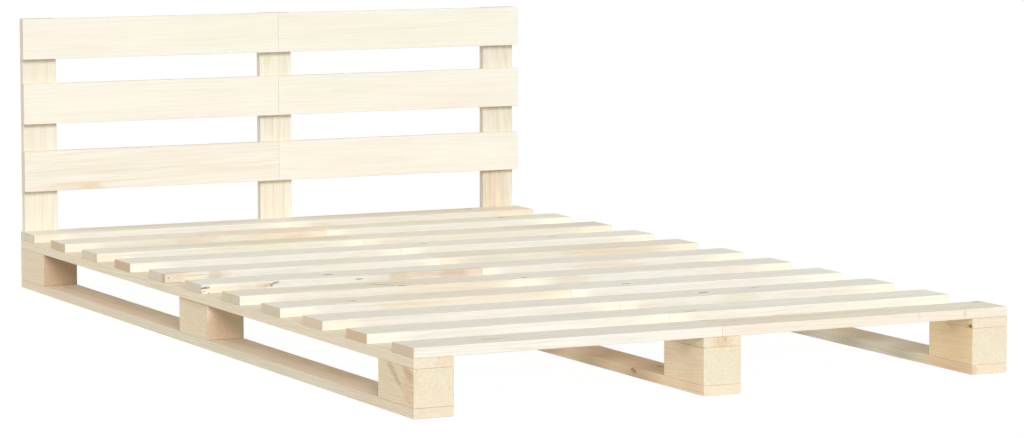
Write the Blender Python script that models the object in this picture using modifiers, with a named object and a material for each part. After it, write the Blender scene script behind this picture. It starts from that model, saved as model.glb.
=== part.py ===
# Pallet bed in bare pine: a slatted deck on three stringers, nine blocks and three skids,
# with a headboard of three rows of boards on three posts bolted to the head end.
# Metres, +Z up. X runs across the bed and +Y points to the head end.
# The origin is on the floor, at the centre of the bed's footprint.

import math

import bmesh
import bpy

# Deck, sized for a mattress 1.2 m wide and 2 m long
DECK_WIDTH = 1.200
DECK_LENGTH = 2.000
SLAT_COUNT = 11
SLAT_WIDTH = 0.088
SLAT_THICKNESS = 0.018

# Base: blocks between stringers and skids, all cut to one width
RUNNER_WIDTH = 0.075
STRINGER_THICKNESS = 0.018
BLOCK_LENGTH = 0.145
BLOCK_HEIGHT = 0.067
SKID_THICKNESS = 0.018

# Headboard
POST_WIDTH = 0.075
POST_THICKNESS = 0.018
POST_INSET = 0.010  # from the deck's side to the outer edge of a side post
POST_FOOT_CLEARANCE = 0.005  # the posts end this far above the floor
HEADBOARD_BOARD_HEIGHT = 0.087
HEADBOARD_BOARD_THICKNESS = 0.018
HEADBOARD_BOARD_INSET = 0.005  # from the deck's side to a board's outer end
LOWEST_BOARD_CLEARANCE = 0.086  # from the slats' top to the lowest board
LOWER_ROW_GAP = 0.059
UPPER_ROW_GAP = 0.053

# Fits between pieces
SEAT_GAP = 0.0003  # between faces that touch
BUTT_JOINT_GAP = 0.0004  # between the two halves of a slat or of a headboard row
SAWN_EDGE = 0.0006  # width of the eased edge along every board and block
CUT_OVERRUN = 0.002  # a cutter runs this far past the face it enters

# Connector bolts that hold a post to its head block
BOLT_RADIUS = 0.003
BOLT_HEAD_RADIUS = 0.0085
BOLT_HEAD_THICKNESS = 0.0026
BOLT_HEAD_EDGE = 0.0008
BOLT_TIP_CHAMFER = 0.0007
BOLT_TIP_PROJECTION = 0.004  # past the far side of the nut
BOLT_EDGE_DISTANCE = 0.018  # from the block's upper or lower face to the bolt's axis
BOLT_BORE_RADIUS = 0.0035
BOLT_BORE_END_CLEARANCE = 0.003
HEX_SOCKET_FLATS = 0.004
HEX_SOCKET_DEPTH = 0.0018
COUNTERBORE_RADIUS = 0.0092
COUNTERBORE_DEPTH = 0.0045

# Barrel nuts, pushed into the block from the side
NUT_RADIUS = 0.005
NUT_LENGTH = 0.014
NUT_EDGE = 0.0006
NUT_SETBACK = 0.032  # from the block's head face to the nut's axis
NUT_BORE_END_CLEARANCE = 0.0015
NUT_SLOT_WIDTH = 0.0012
NUT_SLOT_DEPTH = 0.0014

ROUND_SIDES = 20
HEX_SIDES = 6

# Levels of the base, from the floor up
BLOCK_BOTTOM = SKID_THICKNESS + SEAT_GAP
BLOCK_TOP = BLOCK_BOTTOM + BLOCK_HEIGHT
STRINGER_BOTTOM = BLOCK_TOP + SEAT_GAP
STRINGER_TOP = STRINGER_BOTTOM + STRINGER_THICKNESS
SLAT_BOTTOM = STRINGER_TOP + SEAT_GAP
DECK_TOP = SLAT_BOTTOM + SLAT_THICKNESS

# Lengthwise places
FOOTPRINT_LENGTH = DECK_LENGTH + SEAT_GAP + POST_THICKNESS
FOOT_END = -FOOTPRINT_LENGTH / 2
HEAD_END = FOOT_END + DECK_LENGTH
POST_FRONT = HEAD_END + SEAT_GAP
POST_BACK = POST_FRONT + POST_THICKNESS
BOARD_BACK = POST_FRONT - SEAT_GAP
BOARD_FRONT = BOARD_BACK - HEADBOARD_BOARD_THICKNESS

# Crosswise places: -1 is left, 0 is centre and +1 is right, as seen from the foot end
SIDES = {"left": -1, "centre": 0, "right": 1}
RUNNER_SPREAD = (DECK_WIDTH - RUNNER_WIDTH) / 2
POST_SPREAD = DECK_WIDTH / 2 - POST_INSET - POST_WIDTH / 2

# Lengthwise centres of the rows of blocks
BLOCK_ROWS = {
    "head": HEAD_END - BLOCK_LENGTH / 2,
    "middle": (HEAD_END + FOOT_END) / 2,
    "foot": FOOT_END + BLOCK_LENGTH / 2,
}

# Undersides of the headboard's rows
LOW_ROW = DECK_TOP + LOWEST_BOARD_CLEARANCE
MIDDLE_ROW = LOW_ROW + HEADBOARD_BOARD_HEIGHT + LOWER_ROW_GAP
TOP_ROW = MIDDLE_ROW + HEADBOARD_BOARD_HEIGHT + UPPER_ROW_GAP
HEADBOARD_ROWS = {"low": LOW_ROW, "middle": MIDDLE_ROW, "top": TOP_ROW}
HEADBOARD_TOP = TOP_ROW + HEADBOARD_BOARD_HEIGHT

# Bolt axes, and where each bolt's seat, nut and tip lie along the bed
BOLT_ROWS = {
    "lower": BLOCK_BOTTOM + BOLT_EDGE_DISTANCE,
    "upper": BLOCK_TOP - BOLT_EDGE_DISTANCE,
}
BOLT_SEAT = POST_BACK - COUNTERBORE_DEPTH
NUT_AXIS = HEAD_END - NUT_SETBACK
BOLT_TIP = NUT_AXIS - NUT_RADIUS - BOLT_TIP_PROJECTION


def clear_scene():
    for obj in list(bpy.data.objects):
        bpy.data.objects.remove(obj, do_unlink=True)


def new_collection(name):
    collection = bpy.data.collections.new(name)
    bpy.context.scene.collection.children.link(collection)
    return collection


def new_material(name, colour, roughness, metallic):
    material = bpy.data.materials.new(name)
    material.use_nodes = True
    material.diffuse_color = (*colour, 1)
    shader = material.node_tree.nodes["Principled BSDF"]
    shader.inputs["Base Color"].default_value = (*colour, 1)
    shader.inputs["Roughness"].default_value = roughness
    shader.inputs["Metallic"].default_value = metallic
    return material


def place(name, mesh, location, material):
    """Puts a finished mesh in the bed's collection as a named sub-part."""
    obj = bpy.data.objects.new(name, mesh)
    obj.location = location
    mesh.materials.append(material)
    bed.objects.link(obj)
    return obj


def place_cutter(name, mesh, location):
    obj = bpy.data.objects.new(name, mesh)
    obj.location = location
    obj.display_type = "WIRE"
    obj.hide_render = True
    cutters.objects.link(obj)
    return obj


def box_mesh(name, size):
    shape = bmesh.new()
    bmesh.ops.create_cube(shape, size=1)
    bmesh.ops.scale(shape, vec=size, verts=shape.verts)
    mesh = bpy.data.meshes.new(name)
    shape.to_mesh(mesh)
    shape.free()
    return mesh


def sawn_piece(name, across, along, height, material):
    """A board or block between the given limits on X, Y and Z, with its edges eased."""
    limits = (across, along, height)
    size = [high - low for low, high in limits]
    middle = [(low + high) / 2 for low, high in limits]
    piece = place(name, box_mesh(name, size), middle, material)
    edges = piece.modifiers.new("eased edges", "BEVEL")
    edges.width = SAWN_EDGE
    edges.segments = 1
    edges.limit_method = "ANGLE"
    return piece


def centred(middle, length):
    return middle - length / 2, middle + length / 2


def turned_mesh(name, outline):
    """A profile of (radius, height) points, listed from the top down, for a Screw to spin round Z."""
    mesh = bpy.data.meshes.new(name)
    points = [(radius, 0, height) for radius, height in outline]
    mesh.from_pydata(points, [(i, i + 1) for i in range(len(points) - 1)], [])
    return mesh


def spin(obj):
    turn = obj.modifiers.new("turned", "SCREW")
    turn.steps = ROUND_SIDES
    turn.render_steps = ROUND_SIDES
    turn.use_merge_vertices = True
    turn.merge_threshold = SEAT_GAP / 10
    turn.use_smooth_shade = False


def cut(target, cutter):
    """Takes the cutter's shape out of the target."""
    boolean = target.modifiers.new(cutter.name, "BOOLEAN")
    boolean.operation = "DIFFERENCE"
    boolean.object = cutter


def point_along_y(obj):
    """Turns the local Z axis to +Y."""
    obj.rotation_euler = (-math.pi / 2, 0, 0)


def point_along_x(obj, sign):
    """Turns the local Z axis to +X or -X."""
    obj.rotation_euler = (0, sign * math.pi / 2, 0)


def step_cutter(name, x, z):
    """One drilling for a bolt: a counterbore in the post's back, then a bore into the block."""
    head_end = POST_BACK + CUT_OVERRUN
    bore_end = BOLT_TIP - BOLT_BORE_END_CLEARANCE
    outline = [
        (0, head_end),
        (COUNTERBORE_RADIUS, head_end),
        (COUNTERBORE_RADIUS, BOLT_SEAT),
        (BOLT_BORE_RADIUS, BOLT_SEAT),
        (BOLT_BORE_RADIUS, bore_end),
        (0, bore_end),
    ]
    cutter = place_cutter(name, turned_mesh(name, outline), (x, 0, z))
    point_along_y(cutter)
    spin(cutter)
    return cutter


def nut_cutter(name, x, z, side, mouth):
    """The cross bore for a barrel nut, open at the block's inner face."""
    radius = NUT_RADIUS + SEAT_GAP
    reach = (mouth - x) * side + CUT_OVERRUN
    end = -NUT_LENGTH / 2 - NUT_BORE_END_CLEARANCE
    outline = [(0, reach), (radius, reach), (radius, end), (0, end)]
    cutter = place_cutter(name, turned_mesh(name, outline), (x, NUT_AXIS, z))
    point_along_x(cutter, side)
    spin(cutter)
    return cutter


def prism_mesh(name, radius, depth, sides):
    """A prism round Z, centred on its own middle."""
    shape = bmesh.new()
    bmesh.ops.create_cone(
        shape, cap_ends=True, segments=sides, radius1=radius, radius2=radius, depth=depth
    )
    mesh = bpy.data.meshes.new(name)
    shape.to_mesh(mesh)
    shape.free()
    return mesh


def connector_bolt(name, x, z, material):
    """A bolt with a flat round head and a hexagon socket, its head towards the wall."""
    seat = BOLT_SEAT + SEAT_GAP
    top = seat + BOLT_HEAD_THICKNESS
    outline = [
        (0, top),
        (BOLT_HEAD_RADIUS - BOLT_HEAD_EDGE, top),
        (BOLT_HEAD_RADIUS, top - BOLT_HEAD_EDGE),
        (BOLT_HEAD_RADIUS, seat),
        (BOLT_RADIUS, seat),
        (BOLT_RADIUS, BOLT_TIP + BOLT_TIP_CHAMFER),
        (BOLT_RADIUS - BOLT_TIP_CHAMFER, BOLT_TIP),
        (0, BOLT_TIP),
    ]
    bolt = place(name, turned_mesh(name, outline), (x, 0, z), material)
    point_along_y(bolt)
    spin(bolt)

    flats_to_corners = 1 / math.cos(math.pi / HEX_SIDES)
    depth = HEX_SOCKET_DEPTH + CUT_OVERRUN
    socket_name = name + "_socket"
    mesh = prism_mesh(socket_name, HEX_SOCKET_FLATS / 2 * flats_to_corners, depth, HEX_SIDES)
    socket = place_cutter(socket_name, mesh, (x, top + CUT_OVERRUN - depth / 2, z))
    point_along_y(socket)
    cut(bolt, socket)
    return bolt


def barrel_nut(name, x, z, side, material):
    """A cross dowel, its screwdriver slot at the end that faces the block's inner side."""
    end = NUT_LENGTH / 2
    outline = [
        (0, end),
        (NUT_RADIUS - NUT_EDGE, end),
        (NUT_RADIUS, end - NUT_EDGE),
        (NUT_RADIUS, NUT_EDGE - end),
        (NUT_RADIUS - NUT_EDGE, -end),
        (0, -end),
    ]
    nut = place(name, turned_mesh(name, outline), (x, NUT_AXIS, z), material)
    point_along_x(nut, side)
    spin(nut)

    thread_name = name + "_thread"
    length = 2 * (NUT_RADIUS + CUT_OVERRUN)
    mesh = prism_mesh(thread_name, BOLT_RADIUS + SEAT_GAP, length, ROUND_SIDES)
    thread = place_cutter(thread_name, mesh, (x, NUT_AXIS, z))
    point_along_y(thread)
    cut(nut, thread)

    slot_name = name + "_slot"
    depth = NUT_SLOT_DEPTH + CUT_OVERRUN
    slot_size = (depth, length, NUT_SLOT_WIDTH)
    middle = x + side * (end + CUT_OVERRUN - depth / 2)
    slot = place_cutter(slot_name, box_mesh(slot_name, slot_size), (middle, NUT_AXIS, z))
    cut(nut, slot)
    return nut


def base_frame():
    """Skids, blocks and stringers. Returns the blocks of the head row by side."""
    head_blocks = {}
    full_length = (FOOT_END, HEAD_END)
    for side, sign in SIDES.items():
        across = centred(sign * RUNNER_SPREAD, RUNNER_WIDTH)
        sawn_piece(f"skid_{side}", across, full_length, (0, SKID_THICKNESS), skid_pine)
        for row, middle in BLOCK_ROWS.items():
            along = centred(middle, BLOCK_LENGTH)
            block = sawn_piece(
                f"block_{row}_{side}", across, along, (BLOCK_BOTTOM, BLOCK_TOP), block_pine
            )
            if row == "head":
                head_blocks[side] = block
        height = (STRINGER_BOTTOM, STRINGER_TOP)
        sawn_piece(f"stringer_{side}", across, full_length, height, stringer_pine)
    return head_blocks


def slatted_deck():
    """Slats in two halves that meet over the centre stringer, counted from the head end."""
    pitch = (DECK_LENGTH - SLAT_WIDTH) / (SLAT_COUNT - 1)
    height = (SLAT_BOTTOM, DECK_TOP)
    for number in range(SLAT_COUNT):
        middle = HEAD_END - SLAT_WIDTH / 2 - number * pitch
        along = centred(middle, SLAT_WIDTH)
        left = (-DECK_WIDTH / 2, -BUTT_JOINT_GAP / 2)
        right = (BUTT_JOINT_GAP / 2, DECK_WIDTH / 2)
        sawn_piece(f"slat_{number + 1:02d}_left", left, along, height, slat_pine)
        sawn_piece(f"slat_{number + 1:02d}_right", right, along, height, slat_pine)


def headboard():
    """Three rows of boards on the front of three posts. Returns the posts by side."""
    outer_end = DECK_WIDTH / 2 - HEADBOARD_BOARD_INSET
    along = (BOARD_FRONT, BOARD_BACK)
    for row, bottom in HEADBOARD_ROWS.items():
        height = (bottom, bottom + HEADBOARD_BOARD_HEIGHT)
        left = (-outer_end, -BUTT_JOINT_GAP / 2)
        right = (BUTT_JOINT_GAP / 2, outer_end)
        sawn_piece(f"headboard_{row}_left", left, along, height, headboard_pine)
        sawn_piece(f"headboard_{row}_right", right, along, height, headboard_pine)

    posts = {}
    for side, sign in SIDES.items():
        across = centred(sign * POST_SPREAD, POST_WIDTH)
        height = (POST_FOOT_CLEARANCE, HEADBOARD_TOP)
        posts[side] = sawn_piece(
            f"post_{side}", across, (POST_FRONT, POST_BACK), height, post_pine
        )
    return posts


def bolt_down(posts, head_blocks):
    """Two bolts through each post into barrel nuts in its head block."""
    for side, sign in SIDES.items():
        x = sign * POST_SPREAD
        inner = -sign if sign else 1
        mouth = sign * RUNNER_SPREAD + inner * RUNNER_WIDTH / 2
        for row, z in BOLT_ROWS.items():
            drilling = step_cutter(f"drilling_{side}_{row}", x, z)
            cut(posts[side], drilling)
            cut(head_blocks[side], drilling)
            cut(head_blocks[side], nut_cutter(f"nut_bore_{side}_{row}", x, z, inner, mouth))
            connector_bolt(f"bolt_{side}_{row}", x, z, zinc)
            barrel_nut(f"barrel_nut_{side}_{row}", x, z, inner, zinc)


clear_scene()
bed = new_collection("pallet_bed")
cutters = new_collection("cutters")
cutters.hide_render = True

slat_pine = new_material("slat pine", (0.80, 0.69, 0.50), 0.62, 0)
stringer_pine = new_material("stringer pine", (0.72, 0.58, 0.40), 0.66, 0)
block_pine = new_material("block pine", (0.70, 0.54, 0.34), 0.68, 0)
skid_pine = new_material("skid pine", (0.74, 0.60, 0.41), 0.66, 0)
headboard_pine = new_material("headboard pine", (0.85, 0.78, 0.62), 0.58, 0)
post_pine = new_material("post pine", (0.80, 0.70, 0.50), 0.62, 0)
zinc = new_material("zinc plated steel", (0.62, 0.62, 0.60), 0.34, 1)

blocks_at_head = base_frame()
slatted_deck()
bolt_down(headboard(), blocks_at_head)
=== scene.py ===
import math
import random

import bpy
from mathutils import Matrix, Vector


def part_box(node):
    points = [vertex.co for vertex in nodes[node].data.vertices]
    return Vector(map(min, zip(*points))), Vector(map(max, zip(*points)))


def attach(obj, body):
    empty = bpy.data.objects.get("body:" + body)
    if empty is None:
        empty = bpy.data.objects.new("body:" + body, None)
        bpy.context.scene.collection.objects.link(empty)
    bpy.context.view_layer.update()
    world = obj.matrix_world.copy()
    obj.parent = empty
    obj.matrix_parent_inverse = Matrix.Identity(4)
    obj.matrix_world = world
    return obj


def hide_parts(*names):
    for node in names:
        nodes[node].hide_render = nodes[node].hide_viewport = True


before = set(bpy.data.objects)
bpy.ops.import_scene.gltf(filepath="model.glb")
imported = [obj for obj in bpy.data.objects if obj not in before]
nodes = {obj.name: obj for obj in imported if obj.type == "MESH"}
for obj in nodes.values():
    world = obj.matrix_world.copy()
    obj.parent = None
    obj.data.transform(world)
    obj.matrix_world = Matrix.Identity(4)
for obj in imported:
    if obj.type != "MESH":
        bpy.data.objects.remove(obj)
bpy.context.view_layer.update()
print("frame loaded with", len(nodes), "pieces")


# one value, colour or vector among a recipe's nodes, so that sums on it add nodes
class Wire:
    def __init__(self, recipe, socket):
        self.recipe = recipe
        self.socket = socket

    def run(self, operation, *values):
        return self.recipe.math(operation, *values)

    def __add__(self, other):
        return self.run("ADD", self, other)

    def __radd__(self, other):
        return self.run("ADD", other, self)

    def __sub__(self, other):
        return self.run("SUBTRACT", self, other)

    def __rsub__(self, other):
        return self.run("SUBTRACT", other, self)

    def __mul__(self, other):
        return self.run("MULTIPLY", self, other)

    def __rmul__(self, other):
        return self.run("MULTIPLY", other, self)

    def __truediv__(self, other):
        return self.run("DIVIDE", self, other)

    def __rtruediv__(self, other):
        return self.run("DIVIDE", other, self)

    def __pow__(self, other):
        return self.run("POWER", self, other)

    def __rpow__(self, other):
        return self.run("POWER", other, self)

    def __abs__(self):
        return self.run("ABSOLUTE", self)

    def root(self):
        return self.run("SQRT", self)

    def fraction(self):
        return self.run("FRACT", self)

    def floor(self):
        return self.run("FLOOR", self)

    def exponent(self):
        return self.run("EXPONENT", self)

    # 0 below low and 1 above high with a soft step between, or the other way round
    def ease(self, low, high):
        values = {"Value": self, "From Min": low, "From Max": high}
        settings = {"interpolation_type": "SMOOTHSTEP"}
        return self.recipe.node("MapRange", settings, values, "Result")


# the nodes of one material or of the world
class Recipe:
    def __init__(self, owner):
        self.owner = owner
        owner.use_nodes = True
        self.tree = owner.node_tree
        self.shader = self.tree.nodes.get("Principled BSDF")

    def node(self, kind, settings, values, output=0):
        made = self.tree.nodes.new("ShaderNode" + kind)
        for name, value in settings.items():
            setattr(made, name, value)
        for name, value in values.items():
            self.feed(made.inputs[name], value)
        return Wire(self, made.outputs[output])

    def feed(self, socket, value):
        if isinstance(value, Wire):
            self.tree.links.new(value.socket, socket)
        else:
            socket.default_value = value

    def math(self, operation, *values):
        return self.node("Math", {"operation": operation}, dict(enumerate(values)))

    def vector(self, x, y, z):
        return self.node("CombineXYZ", {}, {"X": x, "Y": y, "Z": z})

    def noise(self, place, detail):
        return self.node("TexNoise", {}, {"Vector": place, "Scale": 1, "Detail": detail})

    def whim(self, number):  # a random value for each whole number
        return self.node("TexWhiteNoise", {"noise_dimensions": "1D"}, {"W": number})

    def mix(self, share, first, second, blend="MIX"):
        first, second = (
            (*colour, 1) if isinstance(colour, tuple) else colour for colour in (first, second)
        )
        settings = {"data_type": "RGBA", "blend_type": blend}
        return self.node("Mix", settings, {0: share, 6: first, 7: second}, 2)

    def place(self, output="Object"):
        spot = self.node("TexCoord", {}, {}, output)
        return [self.node("SeparateXYZ", {}, {0: spot}, axis) for axis in "XYZ"]


def deselect():
    bpy.ops.object.select_all(action="DESELECT")


# brings one piece alone into edit mode, all selected or only what a test on its place picks
def edit(piece, wanted=None, kind="VERT"):
    deselect()
    piece.select_set(True)
    bpy.context.view_layer.objects.active = piece
    bpy.ops.object.mode_set(mode="EDIT")
    bpy.ops.mesh.select_mode(type=kind)
    bpy.ops.mesh.select_all(action="DESELECT" if wanted else "SELECT")
    bpy.ops.object.mode_set(mode="OBJECT")
    if wanted:
        parts = piece.data.vertices if kind == "VERT" else piece.data.polygons
        for part in parts:
            part.select = wanted(part.co if kind == "VERT" else part.center)
    bpy.ops.object.mode_set(mode="EDIT")


def leaveEdit():
    bpy.ops.object.mode_set(mode="OBJECT")


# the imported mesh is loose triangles, so the copy is merged and its flat faces are joined
weld = {"distance": 0.00002, "angle": 0.01}


def copyBoard(name):
    board = nodes[name].copy()
    board.data = nodes[name].data.copy()
    board.name = name + "_board"
    bpy.context.scene.collection.objects.link(board)
    edit(board)
    bpy.ops.mesh.remove_doubles(threshold=weld["distance"])
    bpy.ops.mesh.dissolve_limited(angle_limit=weld["angle"])
    leaveEdit()
    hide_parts(name)
    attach(board, "root")
    return board


def carve(board, cutter):
    cut = board.modifiers.new("cut", "BOOLEAN")
    cut.object = cutter
    cut.solver = "EXACT"
    bpy.context.view_layer.objects.active = board
    bpy.ops.object.modifier_apply(modifier=cut.name)
    bpy.data.objects.remove(cutter, do_unlink=True)


turnTo = {  # small parts are made facing up
    "up": Matrix.Identity(4),
    "down": Matrix.Rotation(math.pi, 4, "X"),
    "head": Matrix.Rotation(-math.pi / 2, 4, "X"),
}


# copies of one small part, each facing its own way, joined into one piece
def copies(model, places, facing, name):
    made = []
    for place in places:
        one = model.copy()
        one.data = model.data.copy()
        one.data.transform(Matrix.Translation(place) @ turnTo[facing])
        bpy.context.scene.collection.objects.link(one)
        made.append(one)
    deselect()
    for one in made:
        one.select_set(True)
    bpy.context.view_layer.objects.active = made[0]
    bpy.ops.object.join()
    made[0].name = name
    return made[0]


# nails hold the slats to the stringers and the skids to the blocks
nail = {
    "radius": 0.0019,
    "length": 0.0014,
    "sides": 12,
    "rim": 0.0004,
    "dish": 0.0001,
    "pitSlack": 0.0003,
    "pitDepth": 0.0016,
    "spread": (0.015, 0.024),  # across and along a board, from its middle
    "fromJoint": 0.019,
    "stray": 0.0022,  # the nails are set by eye
    "seed": 41,
}
# countersunk screws hold the headboard's boards to the backs of the posts
screw = {
    "radius": 0.004,
    "cone": 0.0028,
    "sides": 24,
    "tip": 0.45,  # how much of the width is left at the cone's end
    "slot": (0.0046, 0.0009, 0.0018),  # length, width, depth of one arm of the cross
    "slotTip": 0.55,
    "pitSlack": 0.0012,
    "pitDepth": 0.0045,
    "pitTip": 0.5,
    "spread": (0.019, 0.023),  # across the post and up the board, from their middles
}
fixing = {
    "sunk": 0.0002,  # how far a head lies below the wood
    "lift": 0.0008,  # how far a pit's cutter stands out of the wood
    "smooth": 35,  # degrees
}


def makeNail():
    deselect()
    bpy.ops.mesh.primitive_cylinder_add(
        vertices=nail["sides"], radius=nail["radius"], depth=nail["length"],
        location=(0, 0, -nail["length"] / 2),
    )
    model = bpy.context.object
    bpy.ops.object.transform_apply()
    edit(model, lambda middle: middle.z > -nail["dish"], "FACE")  # the top
    bpy.ops.mesh.inset(thickness=nail["rim"])
    bpy.ops.transform.translate(value=(0, 0, -nail["dish"]))
    leaveEdit()
    return model


# stands on its tip with its wide end up; lift is the height of that end
def makeCone(radius, tip, depth, sides, lift):
    deselect()
    bpy.ops.mesh.primitive_cylinder_add(
        vertices=sides, radius=radius, depth=depth, location=(0, 0, lift - depth / 2)
    )
    model = bpy.context.object
    bpy.ops.object.transform_apply()
    edit(model, lambda spot: spot.z < lift - depth / 2)
    bpy.ops.transform.resize(value=(tip / radius, tip / radius, 1))
    leaveEdit()
    return model


def makeScrew():
    radius = screw["radius"]
    model = makeCone(radius, radius * screw["tip"], screw["cone"], screw["sides"], 0)
    long, thin, deep = screw["slot"]
    for size in ((long, thin), (thin, long)):
        deselect()
        bpy.ops.mesh.primitive_cube_add(size=1)
        slot = bpy.context.object
        slot.scale = (*size, deep * 2)
        bpy.ops.object.transform_apply()
        edit(slot, lambda spot: spot.z < 0)
        bpy.ops.transform.resize(value=(screw["slotTip"], screw["slotTip"], 1))
        leaveEdit()
        carve(model, slot)
    return model


def near(dice, value):
    return value + dice.uniform(-nail["stray"], nail["stray"])


# two nails in the outer stringer, set askew, and two side by side next to the joint
def slatNails(name, dice):
    low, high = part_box(name)
    side = -1 if name.endswith("left") else 1
    acrossStep, alongStep = nail["spread"]
    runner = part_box("stringer_" + name.split("_")[2])
    outer = (runner[0].x + runner[1].x) / 2
    middle = (low.y + high.y) / 2
    spots = []
    for x, lean in ((outer, acrossStep), (side * nail["fromJoint"], 0)):
        for way in (-1, 1):
            spots.append((near(dice, x + way * lean), near(dice, middle + way * alongStep), high.z))
    return spots


def skidNails(name, dice):
    side = name.split("_")[1]
    acrossStep, alongStep = nail["spread"]
    spots = []
    for row in ("head", "middle", "foot"):
        low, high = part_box(f"block_{row}_{side}")
        x, y = (low.x + high.x) / 2, (low.y + high.y) / 2
        for way in (-1, 1):
            spots.append((near(dice, x + way * acrossStep), near(dice, y - way * alongStep), 0))
    return spots


def postScrews(name):
    low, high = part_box(name)
    x = (low.x + high.x) / 2
    acrossStep, heightStep = screw["spread"]
    spots = []
    for row in ("low", "middle", "top"):
        below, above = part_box(f"headboard_{row}_left")
        z = (below.z + above.z) / 2
        for way in (-1, 1):
            spots.append((x + way * acrossStep, high.y, z + way * heightStep))
            if name == "post_centre":  # the ends of two boards meet here
                spots.append((x + way * acrossStep, high.y, z - way * heightStep))
    return spots


boards = dict(nodes)  # what shows in place of each node


# sinks a pit into each board for each head, then sets the heads in them
def driveFixings():
    driven = []
    dice = random.Random(nail["seed"])
    nailModel = makeNail()
    nailPit = makeCone(
        nail["radius"] + nail["pitSlack"], nail["radius"], nail["pitDepth"], nail["sides"],
        fixing["lift"],
    )
    screwModel = makeScrew()
    screwPit = makeCone(
        screw["radius"] + screw["pitSlack"], screw["radius"] * screw["pitTip"],
        screw["pitDepth"], screw["sides"], fixing["lift"],
    )
    for kind, model, pit, facing, spotsOf, pieceName in (
        ("slat", nailModel, nailPit, "up", lambda name: slatNails(name, dice), "slat_nails"),
        ("skid", nailModel, nailPit, "down", lambda name: skidNails(name, dice), "skid_nails"),
        ("post", screwModel, screwPit, "head", postScrews, "headboard_screws"),
    ):
        away = turnTo[facing] @ Vector((0, 0, 1))
        every = []
        for name in sorted(nodes):
            if name.startswith(kind):
                spots = [Vector(spot) for spot in spotsOf(name)]
                boards[name] = copyBoard(name)
                carve(boards[name], copies(pit, spots, facing, "pits"))
                every.extend(spot - away * fixing["sunk"] for spot in spots)
        heads = copies(model, every, facing, pieceName)
        bpy.ops.object.shade_smooth_by_angle(angle=math.radians(fixing["smooth"]))
        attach(heads, "root")
        driven.append(heads)
        print(pieceName, len(every))
    for model in (nailModel, nailPit, screwModel, screwPit):
        bpy.data.objects.remove(model, do_unlink=True)
    return driven


fixings = driveFixings()


# torn fibres at one slat's end, a gouge by its knot, and a knot hole by the right foot corner
flaws = {
    # below the slat's top, radius, length
    "tears": ((0.0016, 0.0008, 0.015), (0.0062, 0.0018, 0.018), (0.0138, 0.0014, 0.011)),
    "tearSides": 6,
    # from the slat's end and below its top, half sizes, degrees
    "gouge": ((0.1525, 0.0049), (0.010, 0.0018, 0.0016), 12),
    "gougeFacets": (20, 12),
    "hole": ((0.525, -1.0015, 0.0893), (0.0040, 0.0046, 0.0030)),  # place, half sizes
    "holeFacets": 3,
}


# stretches the ball that was just added and cuts it out of a board
def scoopOut(board, size):
    scoop = bpy.context.object
    scoop.scale = size
    bpy.ops.object.transform_apply()
    carve(board, scoop)


def makeFlaws():
    torn = boards["slat_06_left"]
    low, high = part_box("slat_06_left")
    for drop, radius, length in flaws["tears"]:
        deselect()
        bpy.ops.mesh.primitive_cone_add(
            vertices=flaws["tearSides"], radius1=radius, radius2=0, depth=length * 2,
            location=(low.x, low.y, high.z - drop), rotation=(0, math.pi / 2, 0),
        )
        bpy.ops.object.transform_apply()
        carve(torn, bpy.context.object)

    (inset, drop), size, lean = flaws["gouge"]
    segments, rings = flaws["gougeFacets"]
    deselect()
    bpy.ops.mesh.primitive_uv_sphere_add(
        segments=segments, ring_count=rings, radius=1,
        location=(low.x + inset, low.y, high.z - drop), rotation=(0, -math.radians(lean), 0),
    )
    scoopOut(torn, size)

    place, size = flaws["hole"]
    boards["stringer_right"] = copyBoard("stringer_right")
    deselect()
    bpy.ops.mesh.primitive_ico_sphere_add(
        subdivisions=flaws["holeFacets"], radius=1, location=place
    )
    scoopOut(boards["stringer_right"], size)
    print("torn end, gouge and knot hole cut")


makeFlaws()


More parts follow.
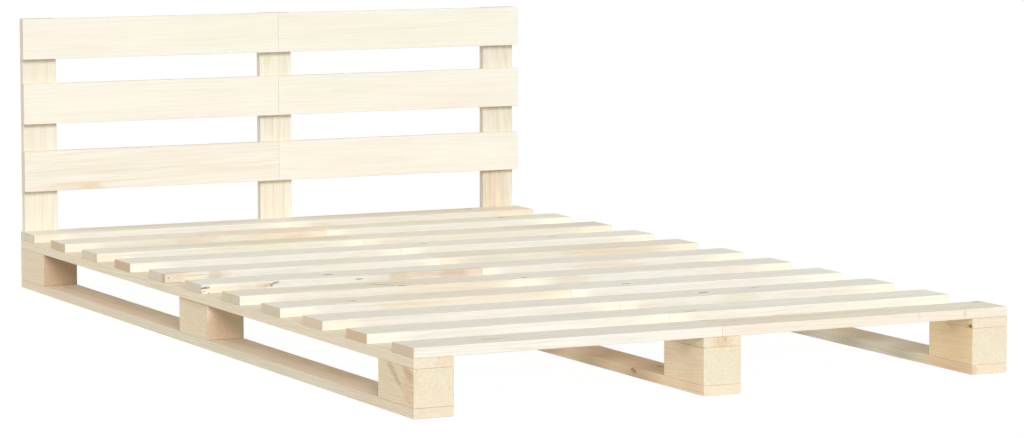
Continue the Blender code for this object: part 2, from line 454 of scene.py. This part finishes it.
pineTones = {  # linear colours of spring wood and summer wood
    "milk": ((0.925, 0.885, 0.780), (0.885, 0.810, 0.665)),
    "cream": ((0.965, 0.935, 0.845), (0.930, 0.865, 0.730)),
    "rose": ((0.950, 0.885, 0.770), (0.905, 0.800, 0.645)),
    "straw": ((0.940, 0.885, 0.755), (0.885, 0.790, 0.610)),
    "bran": ((0.880, 0.795, 0.630), (0.820, 0.680, 0.475)),
    "tan": ((0.890, 0.765, 0.600), (0.830, 0.665, 0.455)),
    "honey": ((0.870, 0.755, 0.560), (0.785, 0.610, 0.375)),
    "peach": ((0.960, 0.830, 0.630), (0.900, 0.730, 0.480)),
}
pineLook = {
    # noises: scale along the grain, scale across it, shift for each seed, detail
    "slow": (1.3, 3, 3.7, 1),
    "quick": (6, 28, 1.9, 2),
    "rough": (60, 160, 1, 2),
    "patch": (2.3, 9, -1, 2),
    "streak": (3.1, 170, 1, 2),
    "fibre": (14, 1100, 1, 1),
    # rings
    "ringDrift": 0.030,  # slow wander along a board
    "ringRipple": 0.0035,
    "summerStart": (0.25, 0.90),  # shares of one ring
    "summerStop": (1.0, 0.93),
    "ringStrength": (0.7, 0.3),  # how much is left to chance, and the least
    "endRings": 0.25,  # how much paler rings are on end grain
    "endGrain": (0.5, 0.9),  # how squarely a face lies across the grain
    # soft tinges: colour, and the noise values between which they set in
    "tinges": (((1.0, 0.970, 0.950), (0.50, 0.75)), ((0.975, 0.988, 0.955), (0.50, 0.28))),
    # fine lines: strength, and the noise values between which they set in
    "streaks": (0.06, (0.35, 0.75)),
    "fibres": (0.05, (0.3, 0.8)),
    "lineWarmth": (1.3, 1.8),  # lines darken green and blue more than red
    # marks; an edge says where a mark starts and where it is full, in its own half sizes
    "edgeFace": -0.036,  # marks placed beyond this, across, are on a board's edge
    "markDepth": 0.004,  # a mark on an edge runs at least this deep into the board
    "ragged": (0.5, 0.8),  # how the slow and the rough noise fray an edge
    "frayed": 0.35,  # how much the fibres break a mark up
    "stainEdge": (1.35, 0.55),
    "darkEdge": (1.25, 0.70),
    "knotEdge": (1.12, 0.94),
    "rimEdges": ((1.22, 1.02), (0.78, 0.98)),  # from outside and from inside
    "rimShare": 0.4,
    "knotRings": (3.4, 0.3, 0.72),  # how many, how strong, and the core's least share
    "knotBend": (-0.7, 2.2),  # how fast and how strongly rings bend round a knot
    # surface
    "roughness": (0.62, 0.14, 0.08),  # plain, more on fibres, less on summer wood
    "specular": 0.35,
    "relief": 0.0002,
    "reliefStrength": 0.5,
    "reliefShares": (0.5, 0.3, 0.4),  # fibres, streaks, summer wood
}
spotTints = {
    "pale": (1.05, 1.08, 1.09),
    "ash": (0.96, 1.06, 1.10),
    "tan": (0.93, 0.86, 0.79),
    "rose": (0.965, 0.89, 0.83),
    "olive": (0.90, 0.89, 0.79),
    "honey": (1.0, 0.95, 0.84),
    "dusk": (0.87, 0.83, 0.81),
    "amber": (0.90, 0.72, 0.52),
    "dark": (0.42, 0.35, 0.29),
    "knot": (0.60, 0.46, 0.34),
    "rim": (0.58, 0.44, 0.33),
    "hole": (0.25, 0.19, 0.14),
}
pineKinds = {  # by the start of a node's name; grain names the axes along, across and through it
    "slat": {"grain": "xyz", "tone": "cream", "end": (0.78, 0.70, 0.60), "rings": 0.55},
    "headboard": {"grain": "xzy", "tone": "milk", "end": (0.88, 0.83, 0.75), "rings": 0.45,
                  "lines": 0.6},
    "post": {"grain": "zxy", "tone": "milk", "end": (0.86, 0.80, 0.70), "rings": 1.0},
    "stringer": {"grain": "yxz", "tone": "bran", "end": (1.0, 1.0, 1.0), "rings": 0.7},
    "skid": {"grain": "yxz", "tone": "tan", "end": (1.0, 1.05, 1.06), "rings": 0.7},
    "block": {"grain": "yxz", "tone": "honey", "end": (1.0, 1.04, 1.08), "rings": 0.5},
}
boardTop = {"across": 0.01, "through": 0.009, "halfWidth": 0.036}


# a spot that covers a board's whole top for some way to both sides of its place; it gives tinges,
# and on the three slats next to the headboard it is painted shade on the tops
def topTingeAndShade(tint, along, halfLength):
    place = (along, boardTop["across"], boardTop["through"])
    return (tint, *place, halfLength, boardTop["halfWidth"])


# What sets single boards apart. Places are in metres from a board's own centre, along, across
# and through it. A spot is a tint, a place, half its length, half its height and, if it leans,
# how far it climbs across and through for each metre along. Rings bend round the knots.
boardNotes = {
    # the olive, rose and dusk spots over the tops of the first three slats, next to the headboard,
    # are painted shade
    "slat_01_left": {"end": (0.82, 0.79, 0.69),
                     "spots": [("rose", -0.28, -0.044, 0, 0.04, 0.015),
                               topTingeAndShade("olive", 0.02, 0.32)]},
    "slat_01_right": {"tone": "rose",
                      "spots": [("knot", 0.17, 0.029, 0.009, 0.009, 0.006),
                                topTingeAndShade("olive", 0.02, 0.32),
                                ("rose", 0.26, -0.044, 0, 0.07, 0.02)]},
    "slat_02_left": {"tone": "rose", "end": (0.75, 0.64, 0.52),
                     "spots": [("rose", 0.0, -0.044, 0, 0.05, 0.018),
                               topTingeAndShade("rose", 0.16, 0.14),
                               ("rose", 0.27, -0.044, 0, 0.06, 0.02),
                               ("honey", 0.17, -0.044, 0, 0.08, 0.02)]},
    "slat_02_right": {"spots": [("knot", 0.15, 0.014, 0.009, 0.009, 0.006),
                                topTingeAndShade("rose", -0.28, 0.07),
                                topTingeAndShade("olive", 0.02, 0.32)]},
    "slat_03_left": {"end": (0.82, 0.75, 0.65),
                     "spots": [("honey", 0.04, -0.044, 0, 0.12, 0.03),
                               ("rose", -0.28, -0.044, 0, 0.05, 0.02),
                               topTingeAndShade("olive", 0.06, 0.32),
                               topTingeAndShade("rose", 0.16, 0.24)]},
    "slat_03_right": {"tone": "straw", "tint": (1.01, 1.02, 1.03),
                      "spots": [("olive", 0.282, 0.027, 0.009, 0.018, 0.011),
                                topTingeAndShade("dusk", 0.22, 0.16)]},
    "slat_04_left": {"end": (0.70, 0.54, 0.42)},
    "slat_04_right": {"spots": [("dusk", 0.077, 0.008, 0.009, 0.014, 0.010),
                                ("olive", 0.077, 0.008, 0.009, 0.017, 0.011),
                                ("knot", -0.22, 0.014, 0.009, 0.007, 0.005)]},
    "slat_05_left": {
        "end": (0.84, 0.75, 0.65),
        "spots": [("rose", -0.188, -0.044, 0, 0.024, 0.018),
                  ("dusk", -0.194, -0.044, 0.001, 0.014, 0.009),
                  ("tan", -0.285, -0.044, 0, 0.06, 0.02),
                  ("dusk", -0.285, -0.044, 0, 0.03, 0.02),
                  ("olive", -0.238, -0.044, 0.003, 0.034, 0.0018, 0, 0.03),
                  ("dusk", -0.235, -0.044, 0.003, 0.022, 0.0012, 0, 0.03),
                  ("rim", -0.2925, -0.044, 0.001, 0.0016, 0.0014)],
    },
    "slat_05_right": {"tone": "straw", "spots": [("rose", 0.10, -0.044, 0, 0.12, 0.02)]},
    "slat_06_left": {
        "end": (0.81, 0.73, 0.64),
        "spots": [("tan", 0.205, -0.046, 0, 0.15, 0.024),
                  ("dusk", 0.29, -0.046, 0, 0.05, 0.02),
                  ("dusk", 0.235, -0.044, 0, 0.03, 0.014),
                  ("tan", 0.118, -0.044, 0.001, 0.022, 0.014),
                  ("rose", 0.20, -0.044, 0.006, 0.05, 0.008),
                  ("rose", -0.235, -0.044, -0.004, 0.05, 0.008),
                  ("tan", -0.171, -0.044, 0.001, 0.018, 0.0048, 0, 0.1),
                  ("olive", -0.164, -0.044, 0.0005, 0.010, 0.0036, 0, 0.2),
                  ("tan", -0.162, -0.044, 0.0005, 0.008, 0.0030, 0, 0.2),
                  ("honey", -0.176, -0.044, 0.001, 0.014, 0.0050),
                  ("dusk", -0.149, -0.044, 0.0030, 0.012, 0.0035, 0, 0.2),
                  ("rim", -0.1475, -0.044, 0.0042, 0.0085, 0.0018, 0, 0.2),
                  ("rim", -0.1545, -0.044, -0.0005, 0.0034, 0.0024),
                  ("dark", -0.169, -0.044, -0.0055, 0.0035, 0.0009),
                  ("dark", 0.032, -0.044, 0.002, 0.010, 0.0013),
                  ("dark", -0.018, -0.004, 0.009, 0.012, 0.006),
                  # the dusk, dark and hole marks at the torn end are painted shade in the torn
                  # fibres
                  ("dusk", -0.290, -0.044, 0.0072, 0.009, 0.0009),
                  ("dark", -0.292, -0.044, 0.0026, 0.0090, 0.0026, 0, 0.05),
                  ("hole", -0.295, -0.044, 0.0028, 0.0060, 0.0008, 0, 0.05),
                  ("dark", -0.2955, -0.044, -0.0048, 0.0055, 0.0010, 0, 0.25),
                  ("hole", -0.2855, -0.044, -0.0075, 0.0020, 0.0009)],
    },
    "slat_06_right": {"spots": [("rose", -0.02, -0.044, 0, 0.08, 0.014)]},
    "slat_07_left": {"end": (0.77, 0.71, 0.61),
                     "spots": [("honey", 0.14, -0.044, 0, 0.12, 0.02),
                               topTingeAndShade("olive", -0.04, 0.13),
                               topTingeAndShade("honey", -0.22, 0.08),
                               topTingeAndShade("honey", 0.12, 0.12),
                               ("dark", 0.012, -0.004, 0.009, 0.022, 0.005, -1.2),
                               ("dark", 0.040, -0.031, 0.009, 0.010, 0.005)]},
    "slat_07_right": {"spots": [("rose", -0.20, -0.044, 0, 0.04, 0.012),
                                ("knot", -0.296, -0.023, 0.009, 0.010, 0.006)]},
    "slat_08_left": {"end": (0.77, 0.69, 0.58),
                     "spots": [("knot", -0.142, -0.007, 0.009, 0.010, 0.005),
                               ("honey", -0.05, -0.044, 0, 0.05, 0.012),
                               ("honey", 0.14, -0.044, 0, 0.22, 0.03),
                               topTingeAndShade("honey", -0.02, 0.2)]},
    "slat_08_right": {"tint": (1.01, 1.02, 1.03),
                      "spots": [("dark", -0.165, -0.010, 0.009, 0.010, 0.0045)]},
    "slat_09_left": {"end": (0.82, 0.72, 0.61),
                     "spots": [("dark", -0.242, 0.008, 0.009, 0.010, 0.0018)]},
    "slat_09_right": {"spots": [("dark", -0.097, 0.0, 0.009, 0.016, 0.006, 0.3),
                                ("dark", 0.031, 0.023, 0.009, 0.014, 0.003),
                                ("olive", -0.045, -0.044, 0, 0.05, 0.012)]},
    "slat_10_left": {"end": (0.77, 0.61, 0.46)},
    "slat_10_right": {"spots": [("dark", -0.249, -0.030, 0.009, 0.014, 0.003),
                                ("rose", -0.29, -0.034, 0.009, 0.05, 0.006),
                                topTingeAndShade("pale", 0.04, 0.30)]},
    "slat_11_left": {"tone": "milk", "tint": (1.01, 1.02, 1.04), "end": (0.80, 0.68, 0.56),
                     "spots": [("honey", -0.14, -0.004, 0.009, 0.036, 0.018),
                               ("tan", -0.135, -0.004, 0.009, 0.018, 0.010),
                               ("olive", -0.24, -0.044, -0.0025, 0.11, 0.0009, 0, -0.008),
                               ("olive", -0.10, -0.044, -0.0045, 0.05, 0.0010, 0, -0.05),
                               ("olive", -0.06, -0.044, 0.0035, 0.03, 0.0010, 0, 0.06)]},
    "slat_11_right": {
        "tone": "rose",
        "tint": (0.985, 0.965, 0.94),
        "spots": [("dark", 0.284, 0.037, 0.009, 0.009, 0.006),
                  ("dark", -0.14, 0.038, 0.009, 0.014, 0.0018),
                  ("rose", -0.12, 0.012, 0.009, 0.20, 0.016),
                  topTingeAndShade("pale", 0.02, 0.32),
                  ("olive", -0.284, 0.040, 0.009, 0.022, 0.008),
                  ("rose", 0.2075, -0.044, 0.001, 0.0045, 0.006),
                  ("tan", 0.2075, -0.044, 0.001, 0.0028, 0.005),
                  ("rose", 0.108, -0.044, 0.002, 0.0035, 0.006)],
    },
    "headboard_low_left": {"lines": 1.2, "rings": 0.7,
                           "spots": [("rose", -0.19, -0.034, -0.009, 0.07, 0.008),
                                     ("tan", -0.145, -0.038, -0.009, 0.028, 0.007)]},
    "post_left": {"tint": (0.97, 0.95, 0.94)},
    "post_centre": {"tone": "rose", "tint": (0.95, 0.975, 0.98), "lines": 1.3},
    "post_right": {"tone": "straw", "tint": (0.925, 0.925, 0.94), "lines": 1.6,
                   "spots": [("rose", -0.13, -0.01, -0.009, 0.12, 0.028),
                             ("rose", -0.15, -0.022, -0.009, 0.09, 0.003),
                             ("rose", -0.12, -0.008, -0.009, 0.07, 0.002)]},
    # the end grain of both head blocks is painted darker, as painted shade under the deck
    "block_head_left": {"end": (0.71, 0.62, 0.58)},
    "block_head_centre": {"end": (0.80, 0.72, 0.66)},
    # its lighter end grain is painted light and the two dusk spots at the lower corner of its foot
    # end are painted shade; the dusk and tan bands along the top of its side are painted shadow
    # under the stringer
    "block_middle_left": {"end": (0.98, 0.94, 0.95),
                          "spots": [("dusk", 0.0, -0.0375, 0.0345, 0.16, 0.012),
                                    ("dusk", 0.0, -0.0375, 0.0345, 0.16, 0.0035),
                                    ("tan", 0.0, -0.0375, 0.0345, 0.16, 0.0035),
                                    ("dusk", -0.0725, -0.030, -0.020, 0.006, 0.028),
                                    ("dusk", -0.0725, -0.015, -0.014, 0.006, 0.034)]},
    # the pale spot on its top next to the foot block is painted light against the block's shade
    "skid_left": {"tint": (0.96, 0.94, 0.94),
                  "spots": [("ash", -0.3, -0.0385, 0, 1.1, 0.011),
                            ("pale", -0.76, 0.005, 0.009, 0.12, 0.04)]},
    "block_foot_left": {"pith": (-0.0245, -0.011), "rings": 0.7, "spacing": 0.0042,
                        "spots": [("dusk", 0.010, -0.0375, 0.020, 0.034, 0.010, 0, 0.65),
                                  ("tan", 0.010, -0.0375, 0.018, 0.032, 0.007, 0, 0.65),
                                  ("rose", -0.032, -0.0375, -0.010, 0.045, 0.004, 0, 0.65),
                                  ("rose", -0.056, -0.0375, 0.0, 0.032, 0.030),
                                  ("dusk", -0.048, -0.0375, 0.024, 0.026, 0.011, 0, 0.4),
                                  ("tan", -0.048, -0.0375, 0.026, 0.026, 0.010, 0, 0.4),
                                  ("pale", -0.0725, -0.034, 0.0, 0.006, 0.028)]},
    # the dusk line along the top of its side is painted shadow under the stringer
    "block_foot_centre": {"tone": "peach", "tint": (1.08, 1.03, 1.0), "end": (0.84, 0.92, 0.96),
                          "spots": [("dusk", -0.02, -0.0375, 0.0345, 0.08, 0.0035)]},
    "block_foot_right": {"tone": "peach", "tint": (1.07, 0.98, 0.83), "end": (0.845, 0.96, 1.16)},
    "skid_right": {"tone": "peach", "tint": (1.06, 1.13, 1.30), "end": (0.88, 0.84, 0.75),
                   "spots": [("amber", -0.93, -0.0375, 0, 0.11, 0.013),
                             topTingeAndShade("rose", -0.45, 0.2)]},
    "stringer_left": {"tint": (1.03, 1.03, 1.03), "pith": (-0.0245, 0.0024), "rings": 0.9,
                      "spots": [("rose", -1.0, 0.022, 0, 0.012, 0.018)]},
    "skid_centre": {"tone": "peach", "tint": (1.08, 0.99, 0.96), "end": (0.86, 0.96, 1.0),
                    "spots": [("amber", -0.741, -0.0375, 0.003, 0.011, 0.006),
                              ("dark", -0.737, -0.0375, 0.004, 0.004, 0.0025),
                              ("dark", -0.7455, -0.0375, 0.0015, 0.004, 0.0025),
                              ("knot", -0.757, 0.009, 0.009, 0.008, 0.006)]},
    "stringer_centre": {"tone": "peach", "tint": (1.05, 1.08, 1.05), "end": (0.88, 0.883, 0.95),
                        "spots": [("rose", -1.0, 0.0, 0.001, 0.03, 0.024),
                                  ("tan", -1.0, -0.001, 0.002, 0.02, 0.013),
                                  ("amber", -1.0, 0.005, 0.004, 0.015, 0.003)]},
    "stringer_right": {"tone": "peach", "tint": (1.05, 1.06, 1.0), "end": (0.88, 0.90, 1.0),
                       # the hole spot is painted shade inside the cut knot hole; the amber round it
                       # is a stain
                       "spots": [("amber", -0.985, -0.0375, -0.0052, 0.016, 0.005),
                                 ("hole", -0.9924, -0.0375, -0.0052, 0.0062, 0.0038)]},
}


# the tints of one mark and how strongly each shows; edge is 1 at the mark's outline
def markShares(tint, edge):
    look = pineLook
    if tint == "knot":  # a ringed core with a darker rim
        turns, rings, least = look["knotRings"]
        core = abs((edge * turns).fraction() - 0.5) * rings + least
        outer, inner = look["rimEdges"]
        rim = edge.ease(*outer) * edge.ease(*inner)
        return [("rim", rim * look["rimShare"]), ("knot", edge.ease(*look["knotEdge"]) * core)]
    span = look["darkEdge"] if tint in ("dark", "hole") else look["stainEdge"]
    return [(tint, edge.ease(*span))]


# pith is where the log's centre lies from the board's own, across and through; slope is how
# far the rings climb across and through the board for each metre along it
def pineMaterial(name, kind, centre, pith, slope, spacing, seed, notes):
    look = pineLook
    wood = Recipe(bpy.data.materials.new(name))
    spot = wood.place()
    axes = ["xyz".index(axis) for axis in kind["grain"]]
    along, across, through = (spot[axis] - centre[axis] for axis in axes)
    outAcross = across - pith[0] + along * slope[0]
    outThrough = through - pith[1] + along * slope[1]

    def layer(noise, first=outAcross, second=outThrough):
        long, cross, shift, detail = look[noise]
        place = wood.vector(along * long + seed * shift, first * cross, second * cross)
        return wood.noise(place, detail)

    slow = layer("slow") - 0.5
    quick = layer("quick") - 0.5
    rough = layer("rough", across, through) - 0.5
    radius = (outAcross * outAcross + outThrough * outThrough).root()
    radius = radius + slow * look["ringDrift"] + quick * look["ringRipple"]

    slowShare, roughShare = look["ragged"]
    ragged = slow * slowShare + rough * roughShare
    shares = []
    for tint, markAlong, markAcross, markThrough, length, height, *lean in notes.get("spots", ()):
        climbAcross, climbThrough = (*lean, 0, 0)[:2]
        depth = height
        if markAcross < look["edgeFace"]:
            depth = max(height, look["markDepth"])
        offAlong = along - markAlong
        offAcross = (across - markAcross - offAlong * climbAcross) / depth
        offThrough = (through - markThrough - offAlong * climbThrough) / height
        offAlong = offAlong / length
        reach = (offAlong * offAlong + offAcross * offAcross + offThrough * offThrough).root()
        if tint == "knot":
            bendSpeed, bendHeight = look["knotBend"]
            radius = radius + (reach * bendSpeed).exponent() * height * bendHeight
        shares.extend(markShares(tint, reach + ragged))

    turns = radius / spacing
    ring = turns.fraction()
    chance, least = look["ringStrength"]
    strength = wood.whim(turns.floor() + seed) * chance + least
    summer = ring.ease(*look["summerStart"]) * ring.ease(*look["summerStop"]) * strength
    facing = wood.place("Normal")[axes[0]]
    facing = facing * kind["outward"] if "outward" in kind else abs(facing)
    end = facing.ease(*look["endGrain"])

    early, late = (
        tuple(part * tint for part, tint in zip(tone, notes.get("tint", (1, 1, 1))))
        for tone in pineTones[notes.get("tone", kind["tone"])]
    )
    rings = summer * notes.get("rings", kind["rings"]) * (1 - end * look["endRings"])
    colour = wood.mix(rings, early, late)
    patch = layer("patch")
    for tinge, span in look["tinges"]:
        colour = wood.mix(patch.ease(*span), colour, tinge, "MULTIPLY")
    streak = layer("streak")
    fibre = layer("fibre")
    streakShare, streakSpan = look["streaks"]
    fibreShare, fibreSpan = look["fibres"]
    dim = streak.ease(*streakSpan) * streakShare + fibre.ease(*fibreSpan) * fibreShare
    dim = 1 - dim * notes.get("lines", kind.get("lines", 1))
    green, blue = look["lineWarmth"]
    colour = wood.mix(1, colour, wood.vector(dim, dim ** green, dim ** blue), "MULTIPLY")
    colour = wood.mix(end, colour, notes.get("end", kind["end"]), "MULTIPLY")
    for tint, share in shares:
        share = share * (1 - fibre * look["frayed"])
        colour = wood.mix(share, colour, spotTints[tint], "MULTIPLY")
    wood.feed(wood.shader.inputs["Base Color"], colour)

    plain, more, less = look["roughness"]
    wood.feed(wood.shader.inputs["Roughness"], plain + fibre * more - summer * less)
    wood.shader.inputs["Specular IOR Level"].default_value = look["specular"]
    fibreShare, streakShare, summerShare = look["reliefShares"]
    height = fibre * fibreShare + streak * streakShare + summer * summerShare
    bump = {"Height": height, "Strength": look["reliefStrength"], "Distance": look["relief"]}
    wood.feed(wood.shader.inputs["Normal"], wood.node("Bump", {}, bump))
    return wood.owner


def dress(piece, material):
    piece.data.materials.clear()
    piece.data.materials.append(material)


# how each board lay in its log, by chance
growth = {
    "seeds": (17, 5),  # step from board to board, and the first
    "pithAcross": 0.03,
    "pithThrough": (0.03, 0.11),
    "slope": 0.03,
    "blockSlope": 4,  # times as steep
    "spacing": (0.0032, 0.0050),  # from ring to ring
}


def paintBoards():
    seedStep, seedStart = growth["seeds"]
    wide, steep = growth["pithAcross"], growth["slope"]
    names = sorted(name for name in nodes if name.split("_")[0] in pineKinds)
    for number, name in enumerate(names):
        kind = dict(pineKinds[name.split("_")[0]])
        if kind["grain"][0] == "x":  # only the outer end is stained, not the one in the joint
            kind["outward"] = -1 if name.endswith("left") else 1
        dice = random.Random(number * seedStep + seedStart)
        low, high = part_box(name)
        pith = (
            dice.uniform(-wide, wide), dice.choice((-1, 1)) * dice.uniform(*growth["pithThrough"])
        )
        slope = (dice.uniform(-steep, steep), dice.uniform(-steep, steep))
        if name.startswith("block"):
            slope = tuple(climb * growth["blockSlope"] for climb in slope)
        notes = boardNotes.get(name, {})
        pith = notes.get("pith", pith)
        spacing = notes.get("spacing", dice.uniform(*growth["spacing"]))
        material = pineMaterial(
            "pine " + name.replace("_", " "), kind, (low + high) / 2, pith, slope, spacing,
            number, notes,
        )
        dress(nodes[name], material)
        if boards[name] != nodes[name]:
            dress(boards[name], material)
            name.split("_")[0] + "_pine"
    print("pine on", len(names), "boards")


paintBoards()


zincLook = {
    "pale": (0.72, 0.72, 0.70),
    "dark": (0.52, 0.53, 0.53),
    "cloudScale": 260,
    "cloudDetail": 3,
    "roughness": (0.25, 0.25),  # least, and more on clouds
}


def zincMaterial(name):
    zinc = Recipe(bpy.data.materials.new(name))
    spot = zinc.vector(*(axis * zincLook["cloudScale"] for axis in zinc.place()))
    cloud = zinc.noise(spot, zincLook["cloudDetail"])
    least, more = zincLook["roughness"]
    zinc.feed(zinc.shader.inputs["Base Color"], zinc.mix(cloud, zincLook["pale"], zincLook["dark"]))
    zinc.feed(zinc.shader.inputs["Roughness"], cloud * more + least)
    zinc.shader.inputs["Metallic"].default_value = 1
    return zinc.owner


zincPlating = zincMaterial("zinc plating")
for name in nodes:
    if name.startswith(("bolt", "barrel_nut")):
        dress(nodes[name], zincPlating)
for heads in fixings:
    dress(heads, zincPlating)
print("zinc on bolts, nuts, nails and screws")


studio = {
    "sky": 0.42,
    "skyColour": (1.0, 0.985, 0.925),
    "lamps": {  # where each comes from, strength, softness in degrees, colour
        "key": ((-0.26, -0.88, 0.40), 2.06, 24, (0.985, 1.0, 1.04)),
        "fill": ((-0.90, -0.05, 0.43), 0.62, 40, (1.0, 1.0, 1.0)),
    },
    "floorSize": 60,
    "floorDrop": 0.0004,  # just clear of the skids
    "floorPaint": (0.76, 0.76, 0.755),
    "floorGlow": 1.08,
    "floorGlowShare": 0.88,
}


def buildFloor():
    deselect()
    drop = (0, 0, -studio["floorDrop"])
    bpy.ops.mesh.primitive_plane_add(size=studio["floorSize"], location=drop)
    floor = bpy.context.object
    floor.name = "floor"
    paint = Recipe(bpy.data.materials.new("floor paint"))
    paint.tree.nodes.remove(paint.shader)
    matt = paint.node("BsdfDiffuse", {}, {"Color": (*studio["floorPaint"], 1)})
    glow = paint.node("Emission", {}, {"Strength": studio["floorGlow"]})
    seen = paint.node("LightPath", {}, {}, "Is Camera Ray")
    share = seen * studio["floorGlowShare"]
    mixed = paint.node("MixShader", {}, {0: share, 1: matt, 2: glow})
    paint.feed(paint.tree.nodes["Material Output"].inputs["Surface"], mixed)
    floor.data.materials.append(paint.owner)


# the sky is plain white where the camera or metal sees it, and its own colour as light
def lightStudio():
    sky = Recipe(bpy.data.worlds.new("studio"))
    bpy.context.scene.world = sky.owner
    seen = sky.node("LightPath", {}, {}, "Is Camera Ray")
    for ray in ("Is Glossy Ray", "Is Transmission Ray"):
        seen = sky.math("MAXIMUM", seen, sky.node("LightPath", {}, {}, ray))
    levels = {"Value": seen, "To Min": studio["sky"], "To Max": 1}
    background = sky.tree.nodes["Background"].inputs
    sky.feed(background["Color"], sky.mix(seen, studio["skyColour"], (1, 1, 1)))
    sky.feed(background["Strength"], sky.node("MapRange", {}, levels, "Result"))

    for name, (source, strength, softness, colour) in studio["lamps"].items():
        lamp = bpy.data.lights.new(name, "SUN")
        lamp.energy = strength
        lamp.angle = math.radians(softness)
        lamp.color = colour
        sun = bpy.data.objects.new(name, lamp)
        sun.rotation_mode = "QUATERNION"
        sun.rotation_quaternion = Vector(source).to_track_quat("Z", "Y")
        bpy.context.scene.collection.objects.link(sun)


camera = {
    "place": (-3.23977, -6.63683, 1.01022),
    "turn": 0.46525,  # radians from +Y towards +X
    "tilt": 0.1073,  # radians below level
    "lens": 130.787,
    "sensor": 36,
    "reach": 200,  # how far it sees
}


def placeCamera():
    data = bpy.data.cameras.new("camera")
    data.lens = camera["lens"]
    data.sensor_width = camera["sensor"]
    data.clip_end = camera["reach"]
    view = bpy.data.objects.new("camera", data)
    view.location = camera["place"]
    view.rotation_euler = (math.pi / 2 - camera["tilt"], 0, -camera["turn"])
    bpy.context.scene.collection.objects.link(view)
    bpy.context.scene.camera = view


buildFloor()
lightStudio()
placeCamera()
bpy.context.scene.view_settings.view_transform = "Standard"
print("floor, light and camera set")
